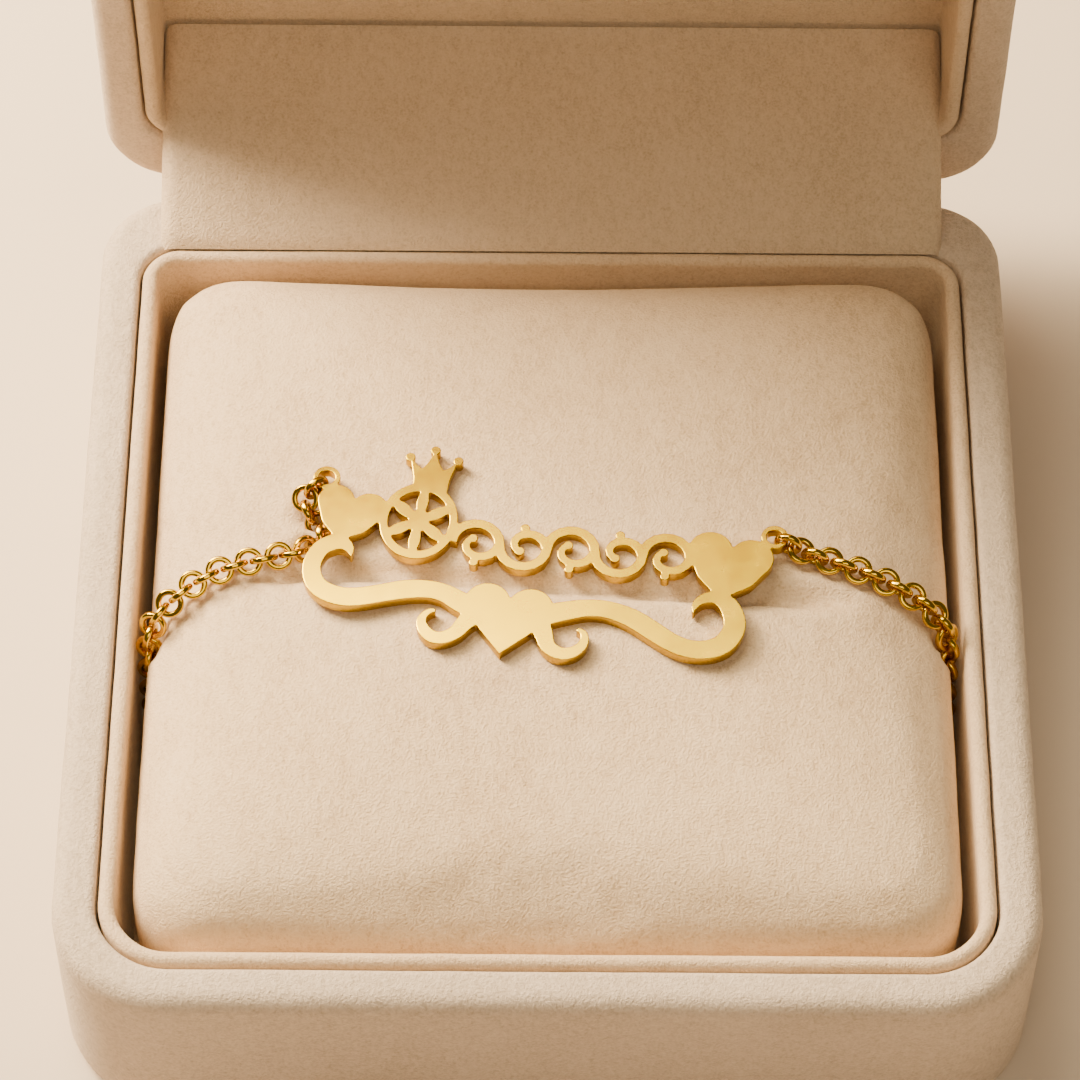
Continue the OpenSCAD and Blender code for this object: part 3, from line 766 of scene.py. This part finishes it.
def pillow_ring(inset):
    half = PILLOW_HALF * (1 - inset)
    r = min(half, PILLOW_CORNER * (1 - inset) + half * inset * inset)
    return plan_ring(half, -half, half, r, r)


def build_pillow():
    rings = [(pillow_ring(inset), PILLOW_Z + share * (BASE_H - PILLOW_Z)) for share, inset in SIDE]
    rings += [(pillow_ring(inset), BASE_H + share * CROWN_H) for share, inset in CROWN]
    pillow = loft("pillow_cover", rings)
    mesh_size = pillow.modifiers.new("even_mesh", "REMESH")
    mesh_size.mode = "VOXEL"
    mesh_size.voxel_size = VOXEL * MM
    settle(pillow)
    start = np.array([v.co for v in pillow.data.vertices])
    cloth = pillow.modifiers.new("stuffing", "CLOTH")
    cloth.settings.use_pressure = True
    cloth.settings.uniform_pressure_force = PRESSURE
    cloth.settings.effector_weights.gravity = 0
    scene = bpy.context.scene
    for step in range(1, CLOTH_FRAMES + 1):
        scene.frame_set(step)
    settle(pillow)
    scene.frame_set(1)
    end = np.array([v.co for v in pillow.data.vertices])
    moved = end - start
    far = np.linalg.norm(moved, axis=1, keepdims=True)
    end = start + moved * np.minimum(1, SWELL_CAP * MM / np.maximum(far, 1e-9))
    reach = PILLOW_HALF * MM
    end = np.clip(end, (-reach, -reach, PILLOW_Z * MM), (reach, reach, 1))
    pillow.data.vertices.foreach_set("co", end.ravel())
    finer = pillow.modifiers.new("finer", "SUBSURF")
    finer.levels = finer.render_levels = 1
    settle(pillow)
    soften(pillow, CLOTH_WANDER)
    furrow(pillow)
    press_in(pillow)
    dress(shade(pillow, 180), "box", pillow_suede, ["pillow"])


FURROW = [(-21.2, -1.1), (-10.3, -2.1), (1, -3.25), (13.2, -3.6), (23.5, -3.6)]
FURROW_DEEP = 1.6
FURROW_WIDE = 0.7
FURROW_END = 30
FURROW_FADE = 6


def furrow(pillow):
    """A soft crease across the top of the cover, behind the scroll of the plate."""
    xs, ys = zip(*FURROW)
    for v in pillow.data.vertices:
        x, y, z = v.co / MM
        if z > BASE_H:
            off = (y - np.interp(x, xs, ys)) / FURROW_WIDE
            fade = min(1, max(0, (FURROW_END - abs(x)) / FURROW_FADE))
            v.co.z -= FURROW_DEEP * MM * math.exp(-off * off / 2) * fade


CHAIN_ROOM = 0.2


def press_in(pillow):
    """Pushes the cover away from the chain, most at its middle and fading out beside it."""
    centres = np.array([p for node in ("chain_left", "chain_right") for p, _ in link_poses(node)])
    room = (LINK_R + CHAIN_ROOM) * MM
    co = np.array([v.co for v in pillow.data.vertices])
    for _ in range(3):
        gap = co[:, None, :] - centres[None, :, :]
        far = np.linalg.norm(gap, axis=2)
        nearest = far.argmin(1)
        reach = far.min(1)
        away = gap[np.arange(len(co)), nearest] / np.maximum(reach, 1e-9)[:, None]
        inward = -co / np.maximum(np.linalg.norm(co, axis=1), 1e-9)[:, None]
        depth = np.clip(room - reach, 0, None)
        way = away * 0.5 + inward
        way /= np.linalg.norm(way, axis=1)[:, None]
        co += way * depth[:, None] * 1.2
    pillow.data.vertices.foreach_set("co", co.ravel())
    pillow.data.update()


def finish_pin():
    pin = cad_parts["hinge_pin"].data
    pin.materials.clear()
    pin.materials.append(pin_brass)


# Studio

def add_softbox(name, place, aim, size, power, colour):
    data = bpy.data.lights.new(name, "AREA")
    data.shape = "RECTANGLE"
    data.size, data.size_y = (s * MM for s in size)
    data.energy = power
    data.color = colour
    lamp = bpy.data.objects.new(name, data)
    bpy.context.collection.objects.link(lamp)
    lamp.location = Vector(place) * MM
    lamp.rotation_euler = (Vector(aim) - Vector(place)).to_track_quat("-Z", "Y").to_euler()


FLOOR_HALF = 2500
FLOOR_Z = -0.05


def build_studio():
    half = FLOOR_HALF
    corners = [(-half, -half, FLOOR_Z), (half, -half, FLOOR_Z), (half, half, FLOOR_Z), (-half, half, FLOOR_Z)]
    floor = piece_from("floor", corners, [(0, 1, 2, 3)])
    if floor.data.polygons[0].normal.z < 0:
        floor.data.flip_normals()
    paper = Finish("floor_paper", Base_Color=(0.74, 0.62, 0.5, 1), Roughness=0.9, Specular_IOR_Level=0.2)
    floor.data.materials.append(paper.material)
    world = bpy.data.worlds.new("studio")
    world.use_nodes = True
    world.node_tree.nodes["Background"].inputs["Color"].default_value = (1.0, 0.84, 0.66, 1)
    world.node_tree.nodes["Background"].inputs["Strength"].default_value = 0.13
    bpy.context.scene.world = world
    add_softbox("key", (-285, 200, 285), (0, 0, 20), (190, 190), 7.4, (1.0, 0.8, 0.55))
    add_softbox("sky", (-215, 260, 590), (0, 0, 20), (460, 360), 5.9, (1.0, 0.84, 0.56))
    add_softbox("fill", (80, -330, 560), (0, 20, 40), (500, 300), 1.5, (1.0, 0.82, 0.57))


add_camera()
build_box()
build_flap()
build_chains()
build_plate()
build_pillow()
finish_pin()
build_studio()
